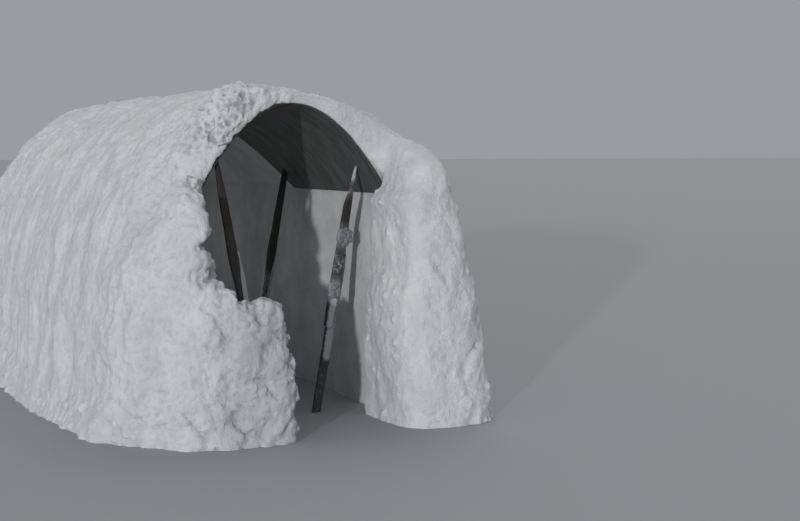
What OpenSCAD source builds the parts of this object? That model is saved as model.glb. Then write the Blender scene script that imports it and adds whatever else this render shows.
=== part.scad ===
// Snow igloo of the barrel-vaulted kind, packed by shovel over a bent form sheet.
// Origin under the middle of the igloo at floor level. The doorway faces -Y, +Z is up.
// Inside this file y is counted from the plane of the front arch, and place() centres it.

/* [Passage] */
// Clear half width between the inner faces of the two walls
passage_half = 575; // [450:5:700]
// Height of the wall tops, where the vault springs
spring_h = 1350; // [1100:10:1500]
// Length of one bay, the stretch that was packed at a time
bay_len = 750; // [600:10:900]
// Depth of the waves left by hand on the inner wall faces
inner_wave = 12; // [0:1:20]

/* [Form sheet] */
// Thickness of the bent sheet that the front two bays were packed on
form_t = 9; // [6:1:15]
// Width of the ledge of wall top on the passage side of the sheet's foot
form_ledge = 25; // [21:1:40]
// Rise of the sheet from its feet to its crown, at the front edge
form_rise = 540; // [440:10:640]
// How much lower the sheet's crown is at its back edge
form_sag = 80; // [0:5:120]
// Exponent of the sheet's curve at its front edge, 2 for a parabola
form_bend = 2; // [1.8:0.1:2.4]
// Exponent of the sheet's curve at its back edge, where it is bent sharper
back_bend = 1.3; // [1.2:0.05:2]

/* [Snow shell] */
// Half width of the shell at the floor, before its toe
flank_half = 1300; // [1200:10:1500]
// Exponent of the shell's outline on the left, 2 for an ellipse and more for a squarer haunch
left_bend = 2.38; // [2.1:0.02:2.8]
// Exponent of the shell's outline on the right, where the haunch is fuller
right_bend = 2.7; // [2.1:0.02:3.2]
// Cover of snow over the crown of the form
crown_cover = 100; // [90:1:200]
// How much thinner the cover is at the front edge
lip_thin = 60; // [0:5:80]
// Length over which the cover grows to its full depth behind the front edge
lip_len = 600; // [300:10:700]
// How far the left haunch rolls in towards the front edge
left_roll = 230; // [100:10:260]
// How far the right haunch rolls in towards the front edge
right_roll = 30; // [0:10:200]
// Length over which the haunches roll in
roll_len = 420; // [250:10:600]
// Share of the half width that the shell loses at its front edge
front_narrow = 0.09; // [0:0.01:0.12]
// Width of the toe that the shell spreads to at the floor
toe_w = 130; // [60:5:160]
// Height at which the toe starts to spread
toe_h = 320; // [200:10:450]

/* [Shovelled surface] */
// Spacing of the broad flutes that run up the flanks and over the vault
flute_gap = 330; // [280:5:450]
// Depth of those flutes each way
flute_depth = 20; // [0:1:28]
// Spacing of the broad lumps
lump_gap = 850; // [700:10:1100]
// Height of those lumps each way
lump_depth = 24; // [0:1:30]
// Height of the heap of clods on the left haunch, beside the front edge
clod_h = 95; // [0:5:120]

/* [Rear end] */
// Thickness of the end wall at the floor
rear_t = 800; // [600:10:1000]
// Length over which the shell turns in to its rear end
rear_turn = 860; // [800:10:1200]

/* [Front walls] */
// How far the two front wall ends run forward of the front arch
front_run = 620; // [450:10:800]
// Height of the right front wall
pier_h = 1690; // [1500:10:1750]
// Height at which the right front wall was packed in two lifts
pier_lift = 820; // [600:10:1000]
// Width of the right front wall at the floor
pier_w = 680; // [500:10:750]
// How far the right front wall stands into the passage
pier_lap = 85; // [20:5:100]
// Height of the low broken wall left of the doorway
step_h = 825; // [600:5:950]
// How far the low wall stands into the passage
step_lap = 350; // [200:5:380]
// Depth of the shoulder's top below the springing
shoulder_drop = 20; // [10:5:150]

/* [Props] */
// Thickness of each prop board
lath_t = 20; // [12:1:30]
// Width of a prop board at its tip
tip_w = 30; // [20:1:45]
// Width of a prop board where the two lap
lap_w = 88; // [60:1:100]
// Width of a prop board at its foot
foot_w = 50; // [35:1:70]
// Half the spacing of the front props' feet
front_feet = 172; // [140:1:200]
// Half the spacing of the back props' feet
back_feet = 145; // [120:1:200]
// Distance of the front props' feet behind the front edge of the sheet
foot_back = 150; // [120:5:250]
// Distance of the back props' feet before the back edge of the sheet
foot_before = 250; // [200:5:350]
// Length over which the two boards of a prop lap
lap_len = 420; // [250:10:600]
// Height of the middle of the lap, as a share of the prop
lap_at = 0.5; // [0.4:0.01:0.6]
// How far the lower board is set to the right of the upper one
lap_shift = 24; // [0:1:30]
// Gap between a prop's tip and the form sheet
tip_gap = 0.3; // [0.2:0.1:0.5]

/* [Hidden] */

snow = "#E9EAEA";
stained_ply = "#3D3B39";
dark_wood = "#4A4643";

bays = 5;
form_bays = 2;
chamber_len = bays * bay_len;
form_len = form_bays * bay_len;
total_len = chamber_len + rear_t;
middle_y = (total_len - front_run) / 2;

form_half = passage_half + form_ledge;
crown_h = spring_h + form_rise + form_t + crown_cover;

// Steps along a bay, up a wall, across the arch and along the rear end
bay_steps = 8;
wall_rows = 8;
arch_steps = 24;
rear_steps = 10;
// Height over which the shovelled surface grows out of the straight foot, and the share of it that
// is left at the thin front edge
floor_fade = 200;
front_rough = 0.25;

// Rear end: exponents of its plan, of its narrowing and of its lowering, and how far it turns in
rear_bend = 2.4;
rear_narrow = 0.8;
rear_lower = 0.6;
rear_reach = 0.985;

// Degrees that the lumps' waves turn across, along and up one lump_gap, and where they start
lump_waves = [270, 360, 200];
lump_start = 70;
// Degrees that a flute sways as it goes up
flute_sway = 50;
// Degrees that the waves on the inner faces are turned apart, left from right and floor from top
inner_start = 60;
inner_sway = 90;

// Heap of clods: its middle as a share of the form's half width, its distance behind the front
// edge, and its spread across and along
clod_share = 0.55;
clod_back = 110;
clod_w = 230;
clod_len = 150;

// The roll of the haunches grows between these shares of the springing's height and these shares
// of the form's half width
roll_up = [0.7, 1.05];
roll_out = [0.5, 1.2];

// Curves

function ease(t) = let (c = min(1, max(0, t))) c * c * (3 - 2 * c);
function ramp(value, from, to) = ease((value - from) / (to - from));
function mix(a, b, t) = a + (b - a) * t;
function root_curve(t, power) = pow(max(0, 1 - pow(t, power)), 1 / power);
function signed_pow(t, power) = sign(t) * pow(abs(t), power);
function bell(t) = exp(-t * t);

// How far the outline has turned in at y: 1 along the vault, less round the rear end
function turned(y) =
    let (t = (y - total_len + rear_turn) / rear_turn * rear_reach)
    t <= 0 ? 1 : root_curve(t, rear_bend);

function shell_half(y) =
    flank_half * (1 - front_narrow * (1 - ease(y / (2 * lip_len)))) * pow(turned(y), rear_narrow);
function shell_crown(y) =
    (crown_h - lip_thin * (1 - ease(y / lip_len))) * pow(turned(y), rear_lower);
function shell_bend(x) = x < 0 ? left_bend : right_bend;
function toe(y, z) = toe_w * turned(y) * pow(max(0, 1 - z / toe_h), 2);

// Flutes, lumps and clods: how far the snow stands out of its smooth outline, none at the floor
function flutes(y, z) =
    flute_depth * sin(360 * y / flute_gap + flute_sway * sin(180 * z / flute_gap));
function lumps(x, y, z) =
    let (turn = lump_waves / lump_gap)
    lump_depth * sin(turn.x * x + lump_start) * sin(turn.y * y + turn.z * z);
function clods(x, y, z) =
    z < spring_h ? 0
    : clod_h * bell((x + form_half * clod_share) / clod_w) * bell((y - clod_back) / clod_len);
// How far the haunches roll in at the front edge, the crown and the foot of the walls staying put
function roll(x, y, z) =
    (x < 0 ? left_roll : right_roll)
    * ramp(z / spring_h, roll_up[0], roll_up[1])
    * ramp(abs(x) / form_half, roll_out[0], roll_out[1])
    * (1 - root_curve(1 - min(1, max(0, y / roll_len)), 2));
function rough(x, y, z) =
    ease(z / floor_fade) * mix(front_rough, 1, ease(y / lip_len)) * turned(y)
        * (flutes(y, z) + lumps(x, y, z))
    + clods(x, y, z) - roll(x, y, z);

// Outer face of a wall at height z, on side -1 or 1
function flank_x(side, y, z) =
    let (x = shell_half(y) * root_curve(z / shell_crown(y), shell_bend(side)) + toe(y, z))
    side * (x + rough(side * x, y, z));

// Smooth outline across the shell at y, where it turns up to the crown and down again
function outline(y, turn) =
    let (bend = shell_bend(cos(turn)))
    [
        shell_half(y) * signed_pow(cos(turn), 2 / bend),
        y,
        shell_crown(y) * signed_pow(sin(turn), 2 / bend)
    ];
function outline_turn(side, y, z) =
    let (turn = asin(pow(min(1, z / shell_crown(y)), shell_bend(side) / 2)))
    side < 0 ? 180 - turn : turn;

// Outer face at share t of the way from height z on the left, over the crown, to height z on the
// right. The snow stands out square to the line from a centre at that height.
function over_point(y, z, t) =
    let (
        p = outline(y, mix(outline_turn(-1, y, z), outline_turn(1, y, z), t)),
        centre = [0, y, z],
        out = rough(p.x, p.y, p.z) / norm(p - centre)
    )
    p + (p - centre) * out;

// The form's curve: share w of the half width, from -1 at the left foot to 1 at the right one
function form_bend_at(y) = mix(form_bend, back_bend, min(1, y / form_len));
function form_rise_at(y) = form_rise - form_sag * min(1, y / form_len);
function form_face(y, w, out) =
    [
        (form_half + out) * w,
        y,
        spring_h + (form_rise_at(y) + out) * (1 - pow(abs(w), form_bend_at(y)))
    ];
function under_form(y, w) = form_face(y, w, 0);
function over_form(y, w) = form_face(y, w, form_t);
function form_share(j) = 2 * j / arch_steps - 1;

function inner_x(side, y, z) =
    let (turn = 360 * y / lump_gap + inner_start * side + inner_sway * z / spring_h)
    side * (passage_half + inner_wave * sin(turn));

// A closed solid through flat rings of equal length. Each ring runs clockwise as seen from before
// the first one, and its ends are capped in strips that join its two halves point by point.
// Turning the seam picks the other diagonal of each side.
module loft(rings, turn_seam = false) {
    n = len(rings[0]);
    last = len(rings) - 1;
    strips = [for (j = [0:ceil(n / 2) - 2]) j + 1 == n - 2 - j
        ? [j, j + 1, n - 1 - j]
        : [j, j + 1, n - 2 - j, n - 1 - j]
    ];
    sides = [
        for (i = [0:last - 1], j = [0:n - 1])
            let (
                a = i * n + j,
                b = (i + 1) * n + j,
                c = (i + 1) * n + (j + 1) % n,
                d = i * n + (j + 1) % n
            )
            each turn_seam ? [[a, b, d], [b, c, d]] : [[a, b, c], [a, c, d]]
    ];
    caps = [
        for (strip = strips) each [
            strip,
            [for (k = [len(strip) - 1:-1:0]) last * n + strip[k]]
        ]
    ];
    polyhedron([for (ring = rings) each ring], concat(sides, caps), convexity = 8);
}

// Moves a piece from y counted at the front arch to the part's own frame
module place() {
    translate([0, -middle_y, 0]) children();
}

function bay_stations(bay) =
    [for (i = [0:bay_steps]) (bay - 1 + i / bay_steps) * bay_len];

// Walls and vault, one bay at a time

// The rows are closer at the foot, where the toe bends
row_bend = 1.3;

module wall_bay(bay, side) {
    heights = [for (i = [0:wall_rows]) spring_h * pow(i / wall_rows, row_bend)];
    rings = [
        for (y = bay_stations(bay))
            let (
                outer = [for (z = heights) [flank_x(side, y, z), y, z]],
                inner = [for (z = heights) [inner_x(side, y, z), y, z]],
                first = side < 0 ? outer : inner,
                second = side < 0 ? inner : outer
            )
            concat(first, [for (i = [len(second) - 1:-1:0]) second[i]])
    ];
    color(snow) place() loft(rings);
}

module vault_bay(bay) {
    rings = [
        for (y = bay_stations(bay))
            concat(
                [for (j = [0:arch_steps]) over_point(y, spring_h, j / arch_steps)],
                [for (j = [arch_steps:-1:0]) over_form(y, form_share(j))]
            )
    ];
    color(snow) place() loft(rings);
}

// The end wall closes the vault and turns in to a rounded heap
low_share = [0, 0.12, 0.3, 0.5, 0.75];
over_steps = 12;
function rear_ring(y) =
    let (split_h = spring_h * turned(y), heights = low_share * split_h)
    concat(
        [for (z = heights) [flank_x(-1, y, z), y, z]],
        [for (j = [0:over_steps]) over_point(y, split_h, j / over_steps)],
        [for (i = [len(heights) - 1:-1:0]) [flank_x(1, y, heights[i]), y, heights[i]]]
    );

module rear_wall() {
    stations = [for (i = [0:rear_steps]) chamber_len + rear_t * sin(90 * i / rear_steps)];
    color(snow) place() loft([for (y = stations) rear_ring(y)]);
}

// Front wall ends

// Right front wall: shares of its width and run that it loses by its top, exponents of its plan
// and of its rounded top, the share of its height that is built, and the height of its knobs, how
// many there are across half a turn and the degrees that they sway by its top
pier_sides = 12;
pier_steps = 8;
pier_batter = 0.42;
pier_set_back = 0.3;
pier_square = 0.7;
pier_round = 9;
pier_reach = 0.995;
knob_h = 10;
knob_turn = 3;
knob_sway = 550;

// Its plan at height z: its back is flat against the first bay
function pier_ring(z) =
    let (
        t = z / pier_h,
        inner = passage_half - pier_lap,
        width = pier_w * (1 - pier_batter * t),
        shrink = sqrt(1 - pow(t, pier_round)),
        half = width / 2 * shrink,
        depth = front_run * (1 - pier_set_back * t) * shrink,
        knob = knob_h * ease(z / floor_fade)
    )
    [
        for (j = [0:pier_sides])
            let (
                turn = 180 + 180 * j / pier_sides,
                bulge = 1 + knob / half * sin(knob_turn * turn + knob_sway * t)
            )
            [
                inner + width / 2
                    + half * signed_pow(cos(turn), pier_square) * (j % pier_sides == 0 ? 1 : bulge),
                depth * signed_pow(sin(turn), pier_square),
                z
            ]
    ];

module right_pier(low, high) {
    heights = [for (i = [0:pier_steps]) mix(low, high, sin(90 * i / pier_steps))];
    color(snow) place() loft([for (z = heights) pier_ring(z)]);
}

module right_pier_base() {
    right_pier(0, pier_lift);
}

module right_pier_top() {
    right_pier(pier_lift, pier_h * pier_reach);
}

// Outline of a front heap across the wall: from its back at the floor, forward, up and over. Its
// face waves by a share of its depth.
heap_rows = 8;
heap_steps = 10;
heap_wave = 0.03;
heap_sway = 250;
function heap_ring(x, height, depth, square) =
    concat(
        [[x, 0, 0]],
        [
            for (i = [heap_rows:-1:0])
                let (
                    t = sin(90 * i / heap_rows),
                    wave = 1 - heap_wave * (1 - cos(heap_sway * (t + x / front_run)))
                )
                [x, -depth * root_curve(t, square) * wave, height * t]
        ]
    );

// The low wall beside the doorway: it falls from the shoulder in a broken step, and its end is
// battered. Shares of its height that it gains at the shoulder and loses at its end, and of its run
// that its end stands back, each with the share of its length where it ends or starts, and the
// exponent of its section.
step_gain = 0.14;
gain_end = 0.33;
step_loss = 0.5;
loss_start = 0.77;
step_back = 0.06;
back_start = 0.8;
step_square = 6;
module low_front_wall() {
    left = -form_half;
    right = step_lap - passage_half;
    rings = [
        for (i = [0:heap_steps])
            let (
                t = i / heap_steps,
                high = 1 + step_gain * (1 - ramp(t, 0, gain_end)),
                height = step_h * high * (1 - step_loss * ramp(t, loss_start, 1)),
                depth = front_run * (1 - step_back * ramp(t, back_start, 1))
            )
            heap_ring(mix(left, right, t), height, depth, step_square)
    ];
    color(snow) place() loft(rings);
}

// The shoulder that leads from the low wall round to the left flank, whose face its top follows.
// Height and depth of its outer end, share of its height that breaks away at the low wall, share of
// its run where the break starts, and the exponents of its plan and of its section.
shoulder_end_h = 25;
shoulder_end_d = 15;
shoulder_loss = 0.19;
shoulder_break = 0.9;
shoulder_plan = 1.1;
shoulder_square = 2.2;

// Height of the left flank's face over x at the front edge, found by halving
halvings = 12;
function flank_height(x, low, high, left) =
    left == 0 ? low
    : let (z = (low + high) / 2)
    flank_x(-1, 0, z) < x
        ? flank_height(x, z, high, left - 1)
        : flank_height(x, low, z, left - 1);

module left_shoulder() {
    top = spring_h - shoulder_drop;
    outer = flank_x(-1, 0, shoulder_end_h);
    rings = [
        for (i = [0:heap_steps])
            let (
                t = sin(90 * i / heap_steps),
                x = mix(outer, -form_half, t),
                kept = 1 - shoulder_loss * ramp(t, shoulder_break, 1),
                height = kept * flank_height(x, shoulder_end_h, top, halvings),
                depth = mix(shoulder_end_d, front_run, pow(sin(90 * t), shoulder_plan))
            )
            heap_ring(x, height, depth, shoulder_square)
    ];
    color(snow) place() loft(rings);
}

// The bent sheet, its feet on the wall tops and the first two bays packed over it
module form_sheet() {
    stations = [for (i = [0:form_bays * bay_steps]) i / bay_steps * bay_len];
    rings = [
        for (y = stations)
            concat(
                [for (j = [0:arch_steps]) over_form(y, form_share(j))],
                [for (j = [arch_steps:-1:0]) under_form(y, form_share(j))]
            )
    ];
    color(stained_ply) place() loft(rings, turn_seam = true);
}

// Props, each of two tapered boards that lap face to face

// Facets of the sheet that the tips bear on, counted from its left foot
left_facet = 2;
right_facet = arch_steps - 1 - left_facet;
// How far a tip stands from the sheet's edge, as a share of how far its foot does: the front
// props and then the back ones, left and right
front_lean = [0.4, 1.4];
back_lean = [0.7, 0.5];
// Foot [x, y], facet of the tip, and y of the tip
front_left = [[-front_feet, foot_back], left_facet, front_lean[0] * foot_back];
front_right = [[front_feet, foot_back], right_facet, front_lean[1] * foot_back];
back_left = [
    [-back_feet, form_len - foot_before], left_facet, form_len - back_lean[0] * foot_before
];
back_right = [
    [back_feet, form_len - foot_before], right_facet, form_len - back_lean[1] * foot_before
];
over_cut = 2 * lap_w;

function facet_middle(y, j) = (under_form(y, form_share(j)) + under_form(y, form_share(j + 1))) / 2;
function facet_normal(y, j) =
    let (
        p = under_form(y, form_share(j)),
        across = under_form(y, form_share(j + 1)) - p,
        along = under_form(y + over_cut, form_share(j)) - p,
        n = cross(across, along)
    )
    n / norm(n);

// A board standing on its end: low_w wide at height low, high_w wide at height high, round at one end
module board(low, low_w, high, high_w, round_top) {
    rotate([90, 0, 0]) linear_extrude(lath_t) {
        polygon([
            [-low_w / 2, low], [low_w / 2, low], [high_w / 2, high], [-high_w / 2, high]
        ]);
        if (round_top) translate([0, high]) circle(d = high_w, $fn = 24);
        else translate([0, low]) circle(d = low_w, $fn = 24);
    }
}

// Leans what stands on the floor at the foot towards the tip, its width staying across the igloo
module lean(spot) {
    foot = [spot[0].x, spot[0].y, 0];
    run = facet_middle(spot[2], spot[1]) - foot;
    side = sign(run.x);
    tilt = side * acos(run.z / norm(run));
    heading = atan2(side * run.y, side * run.x);
    translate(foot) rotate([0, tilt, heading]) children();
}

module prop_foot(spot) {
    length = norm(facet_middle(spot[2], spot[1]) - [spot[0].x, spot[0].y, 0]);
    color(dark_wood) place() difference() {
        lean(spot) translate([lap_shift, lath_t, 0])
            board(-over_cut, foot_w, lap_at * length + lap_len / 2, lap_w, true);
        translate([spot[0].x - front_run, spot[0].y - front_run, -2 * over_cut])
            cube([2 * front_run, 2 * front_run, 2 * over_cut]);
    }
}

module prop_head(spot) {
    length = norm(facet_middle(spot[2], spot[1]) - [spot[0].x, spot[0].y, 0]);
    normal = facet_normal(spot[2], spot[1]);
    color(dark_wood) place() difference() {
        lean(spot) board(lap_at * length - lap_len / 2, lap_w, length + over_cut, tip_w, false);
        translate(facet_middle(spot[2], spot[1]) - tip_gap * normal)
            rotate([0, acos(normal.z), atan2(normal.y, normal.x)])
                translate([-over_cut, -over_cut, 0]) cube(2 * over_cut);
    }
}

// Nodes

for (i = [1:bays]) {
    wall_bay(i, -1);
    wall_bay(i, 1);
    vault_bay(i);
}
rear_wall();
low_front_wall();
left_shoulder();
right_pier_base();
right_pier_top();
form_sheet();
prop_foot(front_right);  // front_right_prop_foot
prop_head(front_right);  // front_right_prop_head
prop_foot(front_left);  // front_left_prop_foot
prop_head(front_left);  // front_left_prop_head
prop_foot(back_right);  // back_right_prop_foot
prop_head(back_right);  // back_right_prop_head
prop_foot(back_left);  // back_left_prop_foot
prop_head(back_left);  // back_left_prop_head
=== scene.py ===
# A barrel-vaulted igloo of packed snow, with the form sheet and the props that it was packed over.
# Metres, Z up. The doorway faces -Y, and the floor is at Z = 0.
import math

import bmesh
import bpy
import numpy as np
from mathutils import Euler, Matrix, Vector
from mathutils.kdtree import KDTree


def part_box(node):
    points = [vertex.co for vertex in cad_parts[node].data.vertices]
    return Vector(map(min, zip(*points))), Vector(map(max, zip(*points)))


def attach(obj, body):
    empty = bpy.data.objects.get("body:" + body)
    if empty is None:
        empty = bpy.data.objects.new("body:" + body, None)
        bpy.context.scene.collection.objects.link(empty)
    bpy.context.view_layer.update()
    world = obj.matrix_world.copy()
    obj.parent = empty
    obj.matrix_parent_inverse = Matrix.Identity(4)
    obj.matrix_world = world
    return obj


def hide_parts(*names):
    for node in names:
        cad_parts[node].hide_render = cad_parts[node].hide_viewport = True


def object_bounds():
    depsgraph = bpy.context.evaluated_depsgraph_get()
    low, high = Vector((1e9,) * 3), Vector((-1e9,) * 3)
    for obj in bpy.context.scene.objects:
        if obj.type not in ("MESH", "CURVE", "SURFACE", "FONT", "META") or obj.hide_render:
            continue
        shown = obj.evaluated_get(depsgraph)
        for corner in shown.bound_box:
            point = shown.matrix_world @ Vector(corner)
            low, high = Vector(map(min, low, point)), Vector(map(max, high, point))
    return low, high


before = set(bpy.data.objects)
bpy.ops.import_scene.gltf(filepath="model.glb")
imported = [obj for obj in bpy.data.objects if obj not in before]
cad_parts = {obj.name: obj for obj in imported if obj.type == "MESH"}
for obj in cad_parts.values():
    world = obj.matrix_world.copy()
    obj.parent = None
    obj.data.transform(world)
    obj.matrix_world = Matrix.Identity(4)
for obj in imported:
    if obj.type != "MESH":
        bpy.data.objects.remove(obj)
cad_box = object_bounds()

# Form sheet
# One bent sheet of thin stained plywood, creased at its crown, its feet on the wall tops. The front
# two bays were packed over it. Frost streaks on its underside are kept right of the crown, as painted
# light on the half that faces the low sun.
sheet_low, sheet_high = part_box("form_sheet")
sheet_t = 0.009
sheet_half = sheet_high.x - sheet_t
sheet_len = sheet_high.y - sheet_low.y
sheet_rise = sheet_high.z - sheet_low.z - sheet_t
sheet_sag = 0.08
front_bend = 2.0
back_bend = 1.3
front_y = sheet_low.y
spring_z = sheet_low.z
lip_overhang = 0.012
sheet_steps_across = 96
sheet_steps_along = 60
ply_black = "#211F1E"
ply_brown = "#33302D"
# Frost grey, kept to the sheet's right half as painted light on the side that faces the low sun
ply_frost_and_light = "#7C7F82"


def linear(colour):
    """An sRGB hex colour as linear red, green, blue and alpha."""
    parts = [int(colour[i : i + 2], 16) / 255 for i in (1, 3, 5)]
    return [c / 12.92 if c <= 0.04045 else ((c + 0.055) / 1.055) ** 2.4 for c in parts] + [1.0]


def add_node(tree, kind, inputs=(), **settings):
    """Adds a node with its settings. An input takes a value, or the socket that it is linked to."""
    node = tree.nodes.new(kind)
    for name, value in settings.items():
        setattr(node, name, value)
    for name, value in dict(inputs).items():
        if isinstance(value, bpy.types.NodeSocket):
            tree.links.new(value, node.inputs[name])
        else:
            node.inputs[name].default_value = value
    return node


def maths(tree, operation, a, b):
    """What an operation makes of two numbers."""
    return add_node(tree, "ShaderNodeMath", {0: a, 1: b}, operation=operation).outputs[0]


def vectors(tree, operation, a, b):
    """What an operation makes of two vectors, or of a vector and its scale."""
    inputs = {0: a, "Scale" if operation == "SCALE" else 1: b}
    return add_node(tree, "ShaderNodeVectorMath", inputs, operation=operation).outputs[0]


def noise(tree, place, scale, detail, roughness):
    """Noise between 0 and 1."""
    sizes = {"Vector": place, "Scale": scale, "Detail": detail, "Roughness": roughness}
    return add_node(tree, "ShaderNodeTexNoise", sizes).outputs["Fac"]


def spread(tree, value, start, end, low=0, high=1, kind="LINEAR"):
    """Takes values between start and end to between low and high."""
    span = {0: value, 1: start, 2: end, 3: low, 4: high}
    return add_node(tree, "ShaderNodeMapRange", span, interpolation_type=kind).outputs[0]


def mixed(tree, share, first, second):
    """Two colours mixed, each a hex colour or a socket."""
    first, second = (linear(tone) if isinstance(tone, str) else tone for tone in (first, second))
    inputs = {0: share, 6: first, 7: second}
    return add_node(tree, "ShaderNodeMix", inputs, data_type="RGBA").outputs[2]


def mapped(tree, place, scale, turn=0):
    """A texture's place, scaled along each axis and turned about Z."""
    settings = {"Vector": place, "Rotation": (0, 0, turn), "Scale": scale}
    return add_node(tree, "ShaderNodeMapping", settings).outputs[0]


def surfaced(tree, colour, roughness, height, distance, strength, **more):
    """Ends a material's tree with a colour, a roughness and bumps."""
    settings = {"Height": height, "Distance": distance, "Strength": strength}
    bump = add_node(tree, "ShaderNodeBump", settings).outputs[0]
    settings = {"Base Color": colour, "Roughness": roughness, "Normal": bump, **more}
    shader = add_node(tree, "ShaderNodeBsdfPrincipled", settings).outputs[0]
    add_node(tree, "ShaderNodeOutputMaterial", {"Surface": shader})


def held_by(tree, name, kind="Fac"):
    """What a mesh holds under a name."""
    return add_node(tree, "ShaderNodeAttribute", attribute_name=name).outputs[kind]


def new_material(name):
    """An empty node material and its tree."""
    material = bpy.data.materials.new(name)
    material.use_nodes = True
    material.node_tree.nodes.clear()
    return material, material.node_tree


def dress(mesh, material):
    """Gives a mesh one material and smooth shading."""
    mesh.materials.clear()
    mesh.materials.append(material)
    mesh.shade_smooth()


def placed(name, data):
    """A new object in the scene, at the origin."""
    made = bpy.data.objects.new(name, data)
    bpy.context.scene.collection.objects.link(made)
    return made


def new_piece(name, verts, faces):
    """A smooth-shaded mesh object."""
    mesh = bpy.data.meshes.new(name)
    mesh.from_pydata(verts, [], faces)
    mesh.shade_smooth()
    return placed(name, mesh)


def arch_height(x, y, out):
    """Height over the floor of the sheet's curve at x and y, out from its underside."""
    along = np.clip((y - front_y) / sheet_len, 0, 1)
    across = np.clip(np.abs(x) / (sheet_half + out), 0, 1)
    bend = front_bend + (back_bend - front_bend) * along
    return spring_z + (sheet_rise - sheet_sag * along + out) * (1 - across**bend)


def stained_ply():
    """Thin plywood, stained dark and dull: grain along the sheet, and streaks of frost a few
    centimetres wide, kept to its right half as painted light on the half that faces the low sun."""
    material, tree = new_material("stained_ply")
    place = add_node(tree, "ShaderNodeTexCoord").outputs["Object"]
    grain = noise(tree, mapped(tree, place, (1, 0.06, 1)), 90, 5, 0.6)
    wood = mixed(tree, grain, ply_black, ply_brown)
    side = add_node(tree, "ShaderNodeSeparateXYZ", {0: place}).outputs[0]
    # Painted light: frost only on the right half, which faces the low sun, so that half reads lighter
    right = spread(tree, side, -0.004, 0.01)
    brushed = noise(tree, mapped(tree, place, (3.2, 16, 3.2), 0.7), 1, 6, 0.7)
    frosted = maths(tree, "MULTIPLY", spread(tree, brushed, 0.36, 0.78, 0.12, 0.6), right)
    specks = spread(tree, noise(tree, place, 38, 5, 0.8), 0.55, 0.8, 0, 0.3)
    colour = mixed(tree, maths(tree, "ADD", frosted, specks), wood, ply_frost_and_light)
    surfaced(tree, colour, 0.62, grain, 0.002, 0.35)
    return material


def form_sheet():
    """The bent sheet as a closed skin of two faces and four edges."""
    verts = []
    for out in (0.0, sheet_t):
        for i in range(sheet_steps_along + 1):
            y = front_y + lip_overhang + (sheet_len - lip_overhang) * i / sheet_steps_along
            for j in range(sheet_steps_across + 1):
                x = (sheet_half + out) * (2 * j / sheet_steps_across - 1)
                verts.append((x, y, float(arch_height(x, y, out))))
    row = sheet_steps_across + 1
    skin = row * (sheet_steps_along + 1)
    faces = []
    for i in range(sheet_steps_along):
        for j in range(sheet_steps_across):
            a = i * row + j
            faces.append((a, a + row, a + row + 1, a + 1))
            faces.append((skin + a, skin + a + 1, skin + a + row + 1, skin + a + row))
    rim = list(range(row))
    rim += [i * row + row - 1 for i in range(1, sheet_steps_along + 1)]
    rim += [sheet_steps_along * row + j for j in range(row - 2, -1, -1)]
    rim += [i * row for i in range(sheet_steps_along - 1, 0, -1)]
    for a, b in zip(rim, rim[1:] + rim[:1]):
        faces.append((a, b, skin + b, skin + a))
    return new_piece("form_sheet_bent", verts, faces)


sheet = form_sheet()
sheet.data.materials.append(stained_ply())
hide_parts("form_sheet")
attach(sheet, "root")

# Packed snow
# The walls, the vault over them, the rear end and the front heaps are one mass of wet snow, thrown
# on by shovel and beaten down. Outside it is streaked along the hoops and full of clods, and the
# inside was smoothed by hand.
snow_nodes = [n for n in sorted(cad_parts) if "prop" not in n and n != "form_sheet"]
chamber_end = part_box("rear_wall")[0].y
passage_half = 0.575
foot_depth = 0.12
weld_gap = 1e-5
cut_slack = 1e-4
floor_slack = 5e-4
body_voxel = 0.022
body_rounding = 6
skin_voxel = 0.009
skin_rounding = 2
kept_share = 0.48
snow_white = "#E2E4E6"
snow_grey = "#D2D5D8"
# Painted shade: the colour that hollows take, and that the low wall is greyed towards
hollow_shade = "#A9ADB1"
# Painted shade: the inner faces are darker greys, for the shade inside the closed vault
inner_shade_grey = "#C9CCCE"
inner_shade_white = "#DCDEE0"

# The smoothed inner faces: how deep into the snow they count, over what share of that they fade,
# and how far outside the sheet's front edge and the chamber's end they begin, over what length
inside_reach = 0.05
inside_fade = 0.6
inside_start, inside_start_run = 0.01, 0.06
inside_stop, inside_stop_run = 0.1, 0.05

# Each kind of clod: how many to the square metre, smallest and largest radius, length up the
# slope and height out of it as shares of that radius, and how deep the middle lies in the snow
clod_sizes = ("Density", "Smallest", "Largest", "Stretch", "Height", "Sink")
clod_kinds = {
    "streak": (130.0, 0.007, 0.018, 2.0, 0.9, 0.5),
    "crumb": (900.0, 0.005, 0.016, 1.2, 0.9, 0.3),
    "heap": (800.0, 0.010, 0.038, 1.1, 1.0, 0.1),
    "broken": (900.0, 0.008, 0.026, 1.1, 1.0, 0.15),
    "toe": (90.0, 0.012, 0.042, 1.1, 0.8, 0.2),
}
# How far the clods stay clear of the sheet's sides, top and front edge, how low they lie, from what
# height up the edge is broken, and how squarely the faces with clods look to their side
clear_side = 0.03
clear_top = 0.025
clear_front = 0.01
clear_foot = -0.02
broken_base = 0.3
broken_facing = (0.1, 0.6)
pier_facing = (0.4, 0.8)
toe_level = 0.9
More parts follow.
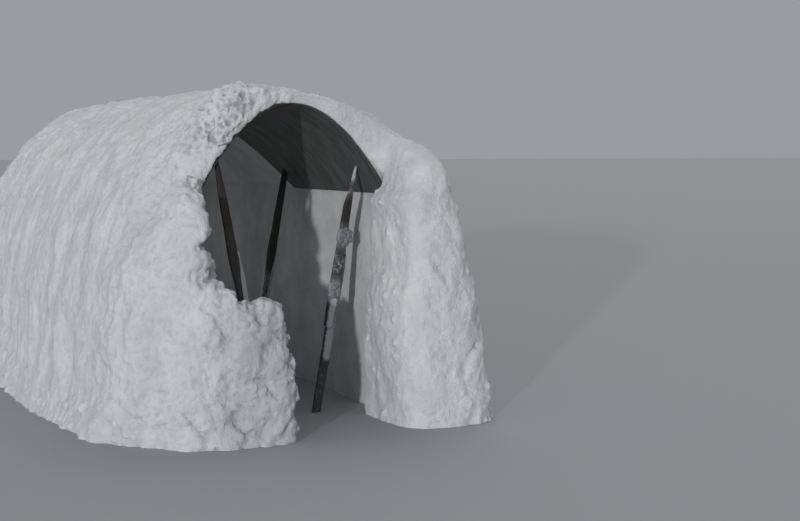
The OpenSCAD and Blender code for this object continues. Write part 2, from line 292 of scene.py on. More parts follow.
# The broken edge left of the doorway: height, how far the snow stands out towards the doorway from
# its smooth edge, and how far it stands back
broken_edge = [
    (0.60, 0.000, 0.00), (0.80, 0.000, 0.00), (0.84, 0.010, 0.00), (0.862, 0.015, 0.00),
    (0.885, -0.012, 0.09), (0.92, -0.020, 0.12), (0.955, 0.000, 0.10), (0.985, 0.016, 0.06),
    (1.00, -0.010, 0.04), (1.03, -0.010, 0.03), (1.055, -0.035, 0.03), (1.075, -0.095, 0.03),
    (1.10, -0.085, 0.02), (1.12, -0.055, 0.00), (1.145, -0.025, 0.00), (1.18, 0.014, 0.00),
    (1.20, -0.012, 0.00), (1.26, -0.004, 0.00), (1.30, 0.010, 0.00), (1.325, 0.036, 0.00),
    (1.36, 0.034, 0.00), (1.40, 0.040, 0.00), (1.42, 0.020, 0.00), (1.50, 0.020, 0.00),
    (1.56, 0.000, 0.00),
]
# The low wall's top: its height in front, how far it falls to its back, from where to where it runs,
# and where, how steeply and over what length it rises to the shoulder
step_top = 0.778
step_fall = 0.11
step_left = -0.595
step_right = -0.1
step_rise_x = -0.54
step_rise_slope = 1.2
step_rise_run = 0.06
# The pier's edge on the doorway: height, and how far it stands into the passage. Its smooth edge
# lies a little way out from the sheet's
pier_edge = [
    (0.00, 0.092), (0.20, 0.090), (0.40, 0.110), (0.77, 0.068), (0.87, 0.018), (1.19, 0.028),
    (1.31, 0.055), (1.36, 0.02), (1.40, -0.035), (1.46, -0.06), (1.54, -0.045), (1.66, 0.0),
]
pier_edge_out = 0.03
# How far the shoulder's top rises to the lip, and how far the crown's right side sinks
shoulder_lift = 0.11
crown_sink = 0.024
# The heap over the doorway's left corner: its middle along X, and along Y from the sheet's front
# edge, its half sizes for the clods and for the rough surface, and the heights that both start at
heap_middle = (-0.44, 0.10)
heap_clods_half = (0.19, 0.17)
heap_rough_half = (0.20, 0.18)
heap_clods_base = 1.66
heap_base = 1.6
# Parts of the snow that are treated alike. Each counts for nothing at the first place along an
# axis, and fully at the second. Y is counted from the sheet's front edge
zones = {
    "shoulder": [("z", 0.85, 1.2), ("y", 0.02, -0.08), ("x", -0.5, -0.62)],
    "beside broken edge": [("x", 0.18, 0.03), ("y", 0.10, 0.02)],
    "low wall's back": [("y", -0.42, -0.05)],
    "beside pier edge": [("x", 0.24, 0.06), ("y", 0.12, 0.0)],
    "crown's right": [("z", 1.7, 1.85), ("x", -0.1, 0.08), ("x", 0.72, 0.6), ("y", 0.6, 0.4)],
    "front face": [("y", -0.2, -0.35)],
    "clods of front": [("y", 0.5, 0.0)],
    "doorway's rim": [("y", 0.06, -0.02)],
    "beside doorway": [("x", 0.80, 0.68)],
    "smooth lip": [("x", 0.05, 0.2), ("z", 1.4, 1.5), ("y", 0.25, 0.05)],
    "toe": [("z", 0.2, 0.04)],
    "front": [("y", 0.35, -0.05)],
    "foot": [("z", 0.25, 0.08)],
    "high": [("z", 1.1, 1.7)],
    "pier's inner side": [("x", 0.68, 0.58)],
    "greyer low wall": [("y", -0.1, -0.3), ("x", -0.75, -0.55)],
    "behind": [("y", 0.1, 0.6)],
    "under sheet": [("z", 1.12, 1.30)],
}
# Creases in the face of the front heaps, where one shovelful slumped over another: the points that
# each runs through, as X and Z, its depth and its half width
face_creases = [
    ([(-0.506, 0.36), (-0.45, 0.375), (-0.42, 0.35), (-0.40, 0.30), (-0.36, 0.27)], 0.030, 0.016),
    ([(-0.85, 0.20), (-0.81, 0.14), (-0.75, 0.07)], 0.034, 0.018),
    ([(-0.72, 0.76), (-0.66, 0.68), (-0.62, 0.59)], 0.022, 0.025),
    ([(-0.60, 0.17), (-0.56, 0.10), (-0.50, 0.06)], 0.024, 0.018),
    ([(0.66, 0.98), (0.73, 0.90), (0.76, 0.80)], 0.018, 0.022),
    ([(0.93, 0.46), (0.86, 0.40), (0.82, 0.30)], 0.020, 0.022),
]
# Clods listed one by one for the low wall: middle, counted from the sheet's front edge along Y, and
# half sizes, which the corners of a clod pass a little
edge_clod_reach = 1.1
edge_clods = [
    ((-0.690, -0.03, 1.350), (0.100, 0.10, 0.130)),
    ((-0.580, -0.46, 0.825), (0.030, 0.05, 0.030)),
    ((-0.507, -0.50, 0.788), (0.016, 0.02, 0.020)),
    ((-0.440, -0.50, 0.762), (0.026, 0.04, 0.018)),
    ((-0.370, -0.50, 0.748), (0.050, 0.06, 0.030)),
    ((-0.325, -0.50, 0.742), (0.032, 0.05, 0.036)),
    ((-0.330, -0.50, 0.700), (0.030, 0.06, 0.034)),
    ((-0.300, -0.50, 0.640), (0.036, 0.06, 0.030)),
    ((-0.278, -0.50, 0.565), (0.038, 0.06, 0.050)),
    ((-0.250, -0.50, 0.440), (0.040, 0.06, 0.070)),
    ((-0.232, -0.50, 0.250), (0.036, 0.06, 0.080)),
    ((-0.226, -0.50, 0.100), (0.034, 0.06, 0.080)),
]


def read(items, name, width=1, kind=np.float32):
    """What the points, edges or faces of a mesh hold under a name, one row each."""
    held = np.empty(len(items) * width, kind)
    items.foreach_get(name, held)
    return held.reshape(-1, width) if width > 1 else held


def coordinates(mesh):
    """A mesh's points."""
    return read(mesh.vertices, "co", 3)


def set_attributes(mesh, **given):
    """Gives each point of a mesh numbers that materials and trees can read by name."""
    for name, values in given.items():
        layer = mesh.attributes.get(name) or mesh.attributes.new(name, "FLOAT", "POINT")
        layer.data.foreach_set("value", values.astype(np.float32))


def inside_share(co):
    """How far each point lies on the smoothed inner faces: 1 inside, 0 outside."""
    x, y, z = np.abs(co[:, 0]), co[:, 1], co[:, 2]
    over = np.maximum(x - passage_half, z - arch_height(x, y, sheet_t))
    share = np.clip((inside_reach - over) / (inside_fade * inside_reach), 0, 1)
    front = np.clip((y - front_y + inside_start) / inside_start_run, 0, 1)
    back = np.clip((chamber_end + inside_stop - y) / inside_stop_run, 0, 1)
    return share * front * back


def ramp(values, start, end):
    """0 at start and before it, 1 at end and past it."""
    return np.clip((values - start) / (end - start), 0, 1)


def zone(name, x, y, z, most=1):
    """How far each point lies in one of the zones: 0 outside it, and most well inside."""
    places = {"x": x, "y": y, "z": z}
    return math.prod((ramp(places[k], start, end) for k, start, end in zones[name]), start=most)


def heap_reach(x, y, middle, half):
    """How far each point lies from a heap's middle, where 1 is its edge."""
    return np.hypot((x - middle[0]) / half[0], (y - middle[1]) / half[1])


def applied(piece):
    """Makes what a piece's modifiers give its own plain mesh."""
    depsgraph = bpy.context.evaluated_depsgraph_get()
    made = bpy.data.meshes.new_from_object(piece.evaluated_get(depsgraph))
    piece.modifiers.clear()
    piece.data = made
    return piece


def new_tree(name, sizes):
    """A Geometry Nodes tree with an input for the geometry and for each size."""
    tree = bpy.data.node_groups.new(name, "GeometryNodeTree")
    face = tree.interface
    face.new_socket("Geometry", in_out="INPUT", socket_type="NodeSocketGeometry")
    kinds = {float: "NodeSocketFloat", int: "NodeSocketInt", str: "NodeSocketString"}
    for size, kind in sizes.items():
        face.new_socket(size, in_out="INPUT", socket_type=kinds[kind])
    face.new_socket("Geometry", in_out="OUTPUT", socket_type="NodeSocketGeometry")
    return tree, add_node(tree, "NodeGroupInput").outputs


def add_tree(piece, tree, values):
    """Puts a tree on a piece as a modifier with its inputs set."""
    modifier = piece.modifiers.new(tree.name, "NODES")
    modifier.node_group = tree
    for socket in tree.interface.items_tree:
        if socket.in_out == "INPUT" and socket.name in values:
            modifier[socket.identifier] = values[socket.name]


def packed_snow():
    """Wet snow, beaten down: white and dull, greyer in patches where it is wet, and darker in its
    hollows and on its inner faces as painted shade. Its grain is a few millimetres, drawn twice as
    coarse so that it shows."""
    material, tree = new_material("packed_snow")
    place = add_node(tree, "ShaderNodeTexCoord").outputs["Object"]
    inside = held_by(tree, "inside")
    patches = noise(tree, place, 5, 6, 0.65)
    streaks = noise(tree, mapped(tree, place, (3, 9, 3)), 1, 4, 0.6)
    wet = spread(tree, maths(tree, "ADD", patches, streaks), 0.8, 1.2)
    outer = mixed(tree, wet, snow_grey, snow_white)
    # Painted shade: the inner faces take the darker inner greys
    inner = mixed(tree, spread(tree, patches, 0.4, 0.62), inner_shade_grey, inner_shade_white)
    # Painted shade: the attribute measured from the hollows darkens them, and greys the low wall
    colour = mixed(tree, held_by(tree, "grey"), mixed(tree, inside, outer, inner), hollow_shade)
    grain = noise(tree, place, 95, 3, 0.7)
    surfaced(tree, colour, 0.85, grain, 0.016, 0.7, **{"Specular IOR Level": 0.3})
    return material


snow = packed_snow()


def clod_tree():
    """Clods scattered on the snow, their long side up the slope, half sunk in it."""
    tree, given = new_tree("clods", {"Where": str, **dict.fromkeys(clod_sizes, float), "Seed": int})

    def times(a, b):
        """The product of two numbers."""
        return maths(tree, "MULTIPLY", a, b)

    share = add_node(
        tree, "GeometryNodeInputNamedAttribute", {"Name": given["Where"]}, data_type="FLOAT"
    ).outputs[0]
    scattered = add_node(
        tree,
        "GeometryNodeDistributePointsOnFaces",
        {"Mesh": given["Geometry"], "Density": times(share, given["Density"]), "Seed": given["Seed"]},
    )
    normal = scattered.outputs["Normal"]
    span = {2: 0.0, 3: 1.0, "Seed": given["Seed"]}
    chance = add_node(tree, "FunctionNodeRandomValue", span, data_type="FLOAT").outputs[1]
    radius = spread(tree, times(chance, chance), 0, 1, given["Smallest"], given["Largest"])
    down = times(times(radius, given["Sink"]), -1.0)
    points = scattered.outputs["Points"]
    step = {"Geometry": points, "Offset": vectors(tree, "SCALE", normal, down)}
    sunk = add_node(tree, "GeometryNodeSetPosition", step).outputs[0]
    level = vectors(tree, "CROSS_PRODUCT", (0, 0, 1), normal)
    align = "FunctionNodeAlignRotationToVector"
    upright = add_node(tree, align, {"Vector": normal}, axis="Z").outputs[0]
    turn = {"Rotation": upright, "Vector": level}
    turned = add_node(tree, align, turn, axis="X", pivot_axis="Z").outputs[0]
    sizes = {0: radius, 1: times(radius, given["Stretch"]), 2: times(radius, given["Height"])}
    size = add_node(tree, "ShaderNodeCombineXYZ", sizes).outputs[0]
    chunk = add_node(tree, "GeometryNodeMeshIcoSphere", {"Radius": 1.0, "Subdivisions": 1})
    each = {"Points": sunk, "Instance": chunk.outputs[0], "Rotation": turned, "Scale": size}
    clods = add_node(tree, "GeometryNodeInstanceOnPoints", each).outputs[0]
    both = add_node(tree, "GeometryNodeJoinGeometry", {0: given["Geometry"]})
    tree.links.new(clods, both.inputs[0])
    real = add_node(tree, "GeometryNodeRealizeInstances", {0: both.outputs[0]}).outputs[0]
    dressed = add_node(tree, "GeometryNodeSetMaterial", {"Geometry": real, "Material": snow})
    add_node(tree, "NodeGroupOutput", {"Geometry": dressed.outputs[0]})
    return tree


def add_remesh(piece, size, rounding):
    """Makes a piece one skin of even squares, and rounds it."""
    remesh = piece.modifiers.new("remesh", "REMESH")
    remesh.mode = "VOXEL"
    remesh.voxel_size = size
    smooth = piece.modifiers.new("round", "SMOOTH")
    smooth.iterations = rounding


def snow_body():
    """Copies of the snow's blocks in one mesh, their feet run down below the floor, remeshed."""
    shape = bmesh.new()
    for node in snow_nodes:
        shape.from_mesh(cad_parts[node].data)
    for vert in shape.verts:
        if vert.co.z < floor_slack:
            vert.co.z = -foot_depth
    bmesh.ops.remove_doubles(shape, verts=shape.verts, dist=weld_gap)
    mesh = bpy.data.meshes.new("snow_mass")
    shape.to_mesh(mesh)
    shape.free()
    mass = placed("snow_mass", mesh)
    add_remesh(mass, body_voxel, body_rounding)
    return applied(mass)


def shape_front(mass):
    """Breaks the edges of the doorway, lowers the low wall behind its front, and brings the
    shoulder up to the lip."""
    co = coordinates(mass.data)
    x, y, z = co[:, 0].copy(), co[:, 1] - front_y, co[:, 2].copy()
    z += zone("shoulder", x, y, z, shoulder_lift)
    co[:, 2] = z
    heights, out, back = zip(*broken_edge)
    near = zone("beside broken edge", np.abs(x + sheet_half), y, z)
    co[:, 0] += np.interp(z, heights, out) * near
    co[:, 1] += np.interp(z, heights, back) * near
    top = step_top + step_rise_slope * np.clip(step_rise_x - x, 0, step_rise_run)
    top -= step_fall * zone("low wall's back", x, y, z)
    low_wall = (x > step_left) & (x < step_right) & (y < 0) & (z > top)
    co[low_wall, 2] = top[low_wall]
    heights, inward = zip(*pier_edge)
    near = zone("beside pier edge", np.abs(x - sheet_half - pier_edge_out), y, z)
    co[:, 0] -= np.interp(z, heights, inward) * near
    co[:, 2] -= crown_sink * zone("crown's right", x, y, z)
    face = zone("front face", x, y, z)
    for points, depth, half_width in face_creases:
        apart = np.full(len(co), np.inf)
        for start, end in zip(np.array(points[:-1]), np.array(points[1:])):
            run = end - start
            along = np.clip(((co[:, ::2] - start) @ run) / (run @ run), 0, 1)
            off = co[:, ::2] - start - along[:, None] * run
            apart = np.minimum(apart, np.linalg.norm(off, axis=1))
        co[:, 1] += depth * np.exp(-((apart / half_width) ** 2)) * face
    mass.data.vertices.foreach_set("co", co.ravel())
    mass.data.update()


def add_edge_clods(mass):
    """Adds the listed clods, as chunks turned every way."""
    chance = np.random.default_rng(4)
    shape = bmesh.new()
    shape.from_mesh(mass.data)
    for middle, half in edge_clods:
        place = Matrix.Translation((middle[0], front_y + middle[1], middle[2]))
        turn = Euler(chance.uniform(0, math.tau, 3)).to_matrix().to_4x4()
        matrix = place @ Matrix.Diagonal((*half, 1)) @ turn
        bmesh.ops.create_icosphere(shape, subdivisions=1, radius=edge_clod_reach, matrix=matrix)
    shape.to_mesh(mass.data)
    shape.free()


def clod_shares(mass):
    """Where each kind of clod lies, as shares of its full density. The factors say how much it
    thins out, or thickens, in each zone."""
    co, out = coordinates(mass.data), read(mass.data.vertices, "normal", 3)
    x, y, z = co[:, 0], co[:, 1] - front_y, co[:, 2]
    clear = (np.abs(x) > sheet_half + clear_side) | (z > arch_height(x, co[:, 1], clear_top))
    outer = (1 - inside_share(co)) * (z > clear_foot) * (clear | (y < clear_front))
    front = zone("clods of front", x, y, z)
    heap = heap_reach(x, y, heap_middle, heap_clods_half)
    rim = zone("doorway's rim", x, y, z)
    doorway = rim * zone("beside doorway", np.abs(x), y, z) * (x < 0) * (z > broken_base)
    doorway *= ramp(out[:, 0] + out[:, 2], *broken_facing)
    pier = rim * (x > 0) * ramp(np.abs(out[:, 0]), *pier_facing)
    smooth_lip = zone("smooth lip", x, y, z)
    shares = {
        "streak": outer * (1 - 0.8 * front) * ramp(y, -0.1, 0.1),
        "crumb": outer * (0.25 + 0.45 * front - 0.4 * pier) * (1 - 0.7 * smooth_lip),
        "heap": outer * np.clip(2.0 - 1.6 * heap, 0, 1) * (z > heap_clods_base),
        "broken": outer * np.maximum(doorway, 0.05 * pier),
        "toe": outer * zone("toe", x, y, z) * (np.abs(out[:, 2]) < toe_level),
    }
    set_attributes(mass.data, **shares)


mass = snow_body()
shape_front(mass)
add_edge_clods(mass)
clod_shares(mass)
tree = clod_tree()
for seed, (name, sizes) in enumerate(clod_kinds.items()):
    add_tree(mass, tree, {"Where": name, "Seed": seed + 1, **dict(zip(clod_sizes, sizes))})
applied(mass)
add_remesh(mass, skin_voxel, skin_rounding)
applied(mass)

# The shovelled surface in layers: how many waves to the metre along each axis, the detail and the
# roughness of the noise, and the depth
noise_layers = {
    "streaks": ((4.5, 11.0, 4.5), 3.0, 0.55, 0.036),
    "bands": ((2.2, 6.5, 2.2), 2.0, 0.5, 0.034),
    "swells": ((6.5, 6.5, 5.0), 2.0, 0.5, 0.045),
    "grains": ((28.0, 28.0, 28.0), 4.0, 0.7, 0.020),
}
clump_waves = 13.0
clump_bend = 5.0
clump_bend_share = 1.5
clump_depth = 0.017


def surface_tree():
    """Moves the surface out and in along its normals. Each layer counts by the share of its name."""
    sizes = {f"{name} depth": float for name in (*noise_layers, "clumps")}
    tree, given = new_tree("shovelled_surface", sizes)
    place = add_node(tree, "GeometryNodeInputPosition").outputs[0]
    normal = add_node(tree, "GeometryNodeInputNormal").outputs[0]

    def counted(name, height):
        """A height between 0 and 1 as a step about its middle."""
        share = add_node(
            tree, "GeometryNodeInputNamedAttribute", {"Name": name}, data_type="FLOAT"
        ).outputs[0]
        deep = maths(tree, "MULTIPLY", maths(tree, "SUBTRACT", height, 0.5), given[f"{name} depth"])
        return maths(tree, "MULTIPLY", deep, share)

    out = None
    for name, (waves, detail, roughness, _) in noise_layers.items():
        stretched = vectors(tree, "MULTIPLY", place, waves)
        step = counted(name, noise(tree, stretched, 1.0, detail, roughness))
        out = step if out is None else maths(tree, "ADD", out, step)
    sizes = {"Vector": place, "Scale": clump_bend, "Detail": 2.0}
    swirl = add_node(tree, "ShaderNodeTexNoise", sizes)
    bent = vectors(tree, "SCALE", swirl.outputs["Color"], clump_bend_share / clump_bend)
    spot = vectors(tree, "ADD", place, bent)
    sizes = {"Scale": clump_waves, "Detail": 1.0, "Roughness": 0.5, "Smoothness": 0.6}
    sizes["Vector"] = spot
    cells = add_node(tree, "ShaderNodeTexVoronoi", sizes, feature="SMOOTH_F1").outputs["Distance"]
    dome = maths(tree, "SUBTRACT", 1.0, maths(tree, "MULTIPLY", cells, cells))
    out = maths(tree, "ADD", out, counted("clumps", dome))
    step = {"Geometry": given["Geometry"], "Offset": vectors(tree, "SCALE", normal, out)}
    moved = add_node(tree, "GeometryNodeSetPosition", step).outputs[0]
    real = add_node(tree, "GeometryNodeRealizeInstances", {0: moved}).outputs[0]
    dressed = add_node(tree, "GeometryNodeSetMaterial", {"Geometry": real, "Material": snow})
    add_node(tree, "NodeGroupOutput", {"Geometry": dressed.outputs[0]})
    return tree


def layer_shares(mass):
    """How much each layer counts: streaks on the flanks, clumps on what was heaped up in front. The
    factors say how much it fades, or deepens, in each zone."""
    co = coordinates(mass.data)
    x, y, z = co[:, 0], co[:, 1] - front_y, co[:, 2]
    outside = 1 - inside_share(co)
    front = zone("front", x, y, z)
    foot = zone("foot", x, y, z)
    high = zone("high", x, y, z)
    heap = np.clip(1.5 - heap_reach(x, y, heap_middle, heap_rough_half), 0, 1) * (z > heap_base)
    smooth_lip = zone("smooth lip", x, y, z)
    pier = front * (x > 0)
    calm = 1 - 0.25 * pier * zone("pier's inner side", x, y, z)
    both_sides = 0.2 + 0.8 * outside
    grains = 1 + 0.5 * high - 0.5 * pier + 1.2 * heap
    clumps = 0.25 + 0.6 * np.maximum(front, foot) - 0.52 * pier + 0.6 * heap
    shares = {
        "streaks": outside * (1 - 0.85 * front - 0.15 * pier) * (1 - 0.8 * foot) * (0.5 + 1.4 * high),
        "bands": outside * (1 - 0.5 * front - 0.4 * pier) * (1 - 0.7 * foot),
        "swells": both_sides * (1 + front - 0.75 * pier) * calm,
        "grains": both_sides * grains * (1 - 0.5 * smooth_lip) * calm,
        "clumps": outside * clumps * (1 - 0.8 * smooth_lip) * calm,
    }
    set_attributes(mass.data, **shares)


layer_shares(mass)
depths = {f"{name} depth": layer[-1] for name, layer in noise_layers.items()}
add_tree(mass, surface_tree(), {**depths, "clumps depth": clump_depth})
applied(mass)


def eased_limit(values, limit, margin):
    """Bends values near a limit, the side of its sign, so that none passes it."""
    side = math.copysign(1, limit)
    over = np.maximum(values * side - (abs(limit) - margin), 0)
    return values - side * (over - margin * (1 - np.exp(-over / margin)))


# Where the snow gives way: how near the solids' box it eases off, how far its underside stays below
# the sheet's top skin, how far ahead of the sheet and below its feet that holds, over what height
# of the feet it moves aside instead of up, and in how many steps and how far in each
box_margin = 0.012
sheet_gap = 0.004
sheet_ahead = 0.03
foot_lap = 0.02
aside_height = 0.3
aside_steps = 12
aside_share = 0.2
# The wall under the sheet: how far behind the front edge it comes flush with the sheet's feet, how
# far in from them it reaches, and how far out it is brought, as a share of the sheet's half width
flush_start = 0.04
flush_reach = 0.1
flush_out = 1.006


def give_way(co):
    """Keeps the points inside the solids' box, over the sheet and beside its feet, and brings the
    wall under the sheet flush with them."""
    low, high = cad_box
    for k in range(2):
        co[:, k] = eased_limit(co[:, k], low[k], box_margin)
        co[:, k] = eased_limit(co[:, k], high[k], box_margin)
    co[:, 2] = np.maximum(eased_limit(co[:, 2], high.z, box_margin), -foot_depth)
    over_sheet = (np.abs(co[:, 0]) < sheet_half) & (co[:, 1] > front_y - sheet_ahead)
    over_sheet &= (co[:, 1] < front_y + sheet_len) & (co[:, 2] > spring_z - foot_lap)
    soffit = arch_height(co[:, 0], co[:, 1], sheet_t) - sheet_gap
    near_foot = over_sheet & (co[:, 2] < spring_z + aside_height) & (soffit > co[:, 2])
    side = np.copysign(sheet_half, co[:, 0])
    for step in range(aside_steps):
        under = near_foot & (arch_height(co[:, 0], co[:, 1], sheet_t) - sheet_gap > co[:, 2])
        co[under, 0] += aside_share * (side - co[:, 0])[under]
    co[near_foot, 0] += aside_share * (side - co[:, 0])[near_foot]
    under_sheet = (np.abs(co[:, 0]) < sheet_half) & (co[:, 2] < spring_z + foot_lap)
    under_sheet &= (co[:, 1] > front_y + flush_start) & (co[:, 1] < front_y + sheet_len)
    under_sheet &= np.abs(co[:, 0]) > sheet_half - flush_reach
    co[:, 0] += (side * flush_out - co[:, 0]) * zone("under sheet", *co.T) * under_sheet
    over_sheet &= ~near_foot
    co[over_sheet, 2] = np.maximum(co[over_sheet, 2], soffit[over_sheet])


co = coordinates(mass.data)
give_way(co)
mass.data.vertices.foreach_set("co", co.ravel())
mass.data.update()

# Painted shade in the hollows: how deep a hollow is once it is fully shaded, how many rings of
# neighbours it is measured over, how much of that shade it gets away from the heap over the doorway,
# where that heap's painted shadows between clods lie, and how much greyer the low wall is all over
hollow_depth = 0.006
hollow_rings = 14
hollow_share = 0.4
gaps_middle = (-0.42, 0.12)
gaps_half = (0.25, 0.25)
gaps_fade = (1.2, 0.6)
low_wall_grey = 0.42


def hollows(mesh):
    """How far each point lies below its surroundings, as a share of the full depth."""
    co, out = coordinates(mesh), read(mesh.vertices, "normal", 3)
    ends = read(mesh.edges, "vertices", 2, np.int32)
    a, b = ends.T
    count = np.bincount(ends.ravel(), minlength=len(co))
    smooth = co.copy()
    for ring in range(hollow_rings):
        for k in range(3):
            total = np.bincount(a, smooth[b, k], len(co)) + np.bincount(b, smooth[a, k], len(co))
            smooth[:, k] = 0.5 * smooth[:, k] + 0.5 * total / count
    return np.clip(((smooth - co) * out).sum(axis=1) / hollow_depth, 0, 1)


x, y, z = co[:, 0], co[:, 1] - front_y, co[:, 2]
low_wall = zone("greyer low wall", x, y, z) * (x < 0)
heap = ramp(heap_reach(x, y, gaps_middle, gaps_half), *gaps_fade) * (z > heap_base)
# Painted shade: hollows darkened, fully in the gaps of the heap over the doorway, and the low wall
# made greyer
grey = hollows(mass.data) * (hollow_share + (1 - hollow_share) * heap) + low_wall_grey * low_wall
grey = np.clip(grey, 0, 1) * (1 - inside_share(co))
set_attributes(mass.data, grey=grey)

# Fewer faces where the snow is smooth or lies behind, and all of them on the heaps in front
thinning_steps = 4
least_thinning = 0.1
group = mass.vertex_groups.new(name="behind")
behind = np.maximum(zone("behind", x, y, z), inside_share(co))
for step in range(thinning_steps + 1):
    picked = np.flatnonzero(np.round(behind * thinning_steps) == step)
    weight = least_thinning + (1 - least_thinning) * step / thinning_steps
    group.add(picked.tolist(), weight, "REPLACE")
fewer = mass.modifiers.new("fewer", "DECIMATE")
fewer.ratio = kept_share
fewer.vertex_group = group.name
applied(mass)

# The mass is cut into the blocks that were packed one after another: where the front heaps end,
# where the walls end and the vault starts, where the rear wall starts, a place past all snow, and
# how squarely a face that a cut left faces along its axis
cut_back = front_y - 0.05
split_z = spring_z - 0.03
end_y = chamber_end - 0.04
far = 4.0
cap_facing = 0.999


def box_mesh(low, high):
    """A plain box to cut with."""
    shape = bmesh.new()
    bmesh.ops.create_cube(shape, size=1)
    for vert in shape.verts:
        for k in range(3):
            vert.co[k] = low[k] if vert.co[k] < 0 else high[k]
    mesh = bpy.data.meshes.new("cutter")
    shape.to_mesh(mesh)
    shape.free()
    return mesh


def sharpen_caps(mesh, low, high):
    """Keeps the flat faces that a cut leaves out of the smooth shading of the snow beside them."""
    centre = read(mesh.polygons, "center", 3)
    normal = read(mesh.polygons, "normal", 3)
    cap = np.zeros(len(centre), bool)
    for corner in (low, high):
        for k in range(3):
            flat = np.abs(normal[:, k]) > cap_facing
            cap |= (np.abs(centre[:, k] - corner[k]) < cut_slack) & flat
    sharp = np.zeros(len(mesh.edges), bool)
    for i in np.flatnonzero(cap):
        for loop in mesh.polygons[int(i)].loop_indices:
            sharp[mesh.loops[loop].edge_index] = True
    layer = mesh.attributes.get("sharp_edge") or mesh.attributes.new("sharp_edge", "BOOLEAN", "EDGE")
    layer.data.foreach_set("value", sharp)


def cut_out(whole, name, low, high):
    """The part of the mass between two corners, as a closed piece."""
    cutter = placed("cutter", box_mesh(low, high))
    piece = placed(name, whole.data)
    cut = piece.modifiers.new("cut", "BOOLEAN")
    cut.operation = "INTERSECT"
    cut.solver = "MANIFOLD"
    cut.object = cutter
    applied(piece)
    bpy.data.objects.remove(cutter)
    sharpen_caps(piece.data, low, high)
    return piece


bay_edges = [cut_back] + [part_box(f"vault_{i}")[1].y for i in range(1, 5)] + [end_y]
blocks = {}
for i in range(5):
    y0, y1 = bay_edges[i], bay_edges[i + 1]
    blocks[f"left_wall_{i + 1}"] = ((-far, y0, 0), (0, y1, split_z))
    blocks[f"right_wall_{i + 1}"] = ((0, y0, 0), (far, y1, split_z))
    blocks[f"vault_{i + 1}"] = ((-far, y0, split_z), (far, y1, far))
pier_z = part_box("right_pier_base")[1].z
step_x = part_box("low_front_wall")[0].x
blocks["rear_wall"] = ((-far, end_y, 0), (far, far, far))
blocks["low_front_wall"] = ((step_x, -far, 0), (0, cut_back, far))
blocks["left_shoulder"] = ((-far, -far, 0), (step_x, cut_back, far))
blocks["right_pier_base"] = ((0, -far, 0), (far, cut_back, pier_z))
blocks["right_pier_top"] = ((0, -far, pier_z), (far, cut_back, far))

whole = coordinates(mass.data)
whole_shade_and_grey = read(mass.data.attributes["grey"].data, "value")
lookup = KDTree(len(whole))
for i, point in enumerate(whole):
    lookup.insert(point, i)
lookup.balance()


def carry_shade_and_grey(mesh, low, high):
    """Gives the points that a cut made the painted shade and grey of the nearest point of the whole
    mass.
    """
    co = coordinates(mesh)
    grey = read(mesh.attributes["grey"].data, "value")
    made = (np.abs(co - low) < cut_slack).any(axis=1) | (np.abs(co - high) < cut_slack).any(axis=1)
    for i in np.flatnonzero(made):
        grey[i] = whole_shade_and_grey[lookup.find(co[i])[1]]
    set_attributes(mesh, grey=grey)


for node, (low, high) in blocks.items():
    piece = cut_out(mass, f"snow_{node}", low, high)
    mesh = piece.data
    carry_shade_and_grey(mesh, low, high)
    set_attributes(mesh, inside=inside_share(coordinates(mesh)))
    dress(mesh, snow)
    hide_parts(node)
    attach(piece, "root")
bpy.data.objects.remove(mass)

# Props
# Thin boards, sawn rough and long weathered, each prop of two that lap face to face: the lower one
# stands on the snow, and the upper one bears on the sheet. Rime sits along their edges and on what
# faces the doorway, white painted highlights stand for sunlit edges and ends of the front props, and
# snow is caked round the ends of the front right prop's lap.
board_black = "#242220"
board_brown = "#3D3834"
# White of rime, used also as painted highlight on sunlit edges of the front props
board_rime_and_highlight = "#B9BCBF"
board_frost = "#74777A"
film_most = 0.85
saw_bevel = 0.0018
bevel_angle = 40
sharp_angle = 35
cut_gap = 0.045
edge_wander = 0.0016
wander_points = 64
# Edges of boards that were split narrower than their blank: share of the length from the foot, and
# where the left and right edges lie from the middle line. A board that isn't here keeps its edges
board_edges = {
    "front_left_prop_head": [
        (0, -0.014, 0.014), (0.3, -0.02, 0.02), (0.42, -0.035, 0.035), (0.55, -0.045, 0.045),
        (0.8, -0.028, 0.028), (1, -0.008, 0.008),
    ],
    "back_right_prop_head": [
        (0, -0.015, 0.015), (0.28, -0.021, 0.021), (0.42, -0.036, 0.036), (0.55, -0.045, 0.045),
        (0.8, -0.03, 0.03), (1, -0.017, 0.017),
    ],
    "back_left_prop_head": [
        (0, -0.017, 0.017), (0.3, -0.025, 0.025), (0.5, -0.045, 0.045), (0.8, -0.03, 0.03),
        (1, -0.015, 0.015),
    ],
    "front_right_prop_head": [
        (0, -0.03, 0.03), (0.2, -0.038, 0.04), (0.4, -0.04, 0.045), (0.6, -0.042, 0.045),
        (0.70, -0.032, 0.045), (0.77, -0.018, 0.045), (0.83, 0, 0.044), (0.92, 0.004, 0.043),
        (1, 0.018, 0.04),
    ],
    "front_right_prop_foot": [
        (0, -0.028, 0.028), (0.3, -0.03, 0.032), (0.6, -0.03, 0.045), (0.8, -0.045, 0.045),
        (1, -0.03, 0.03),
    ],
    "front_left_prop_foot": [(0, -0.03, 0.03), (0.8, -0.045, 0.045), (1, -0.031, 0.031)],
    "back_right_prop_foot": [(0, -0.03, 0.03), (0.8, -0.045, 0.045), (1, -0.033, 0.033)],
}
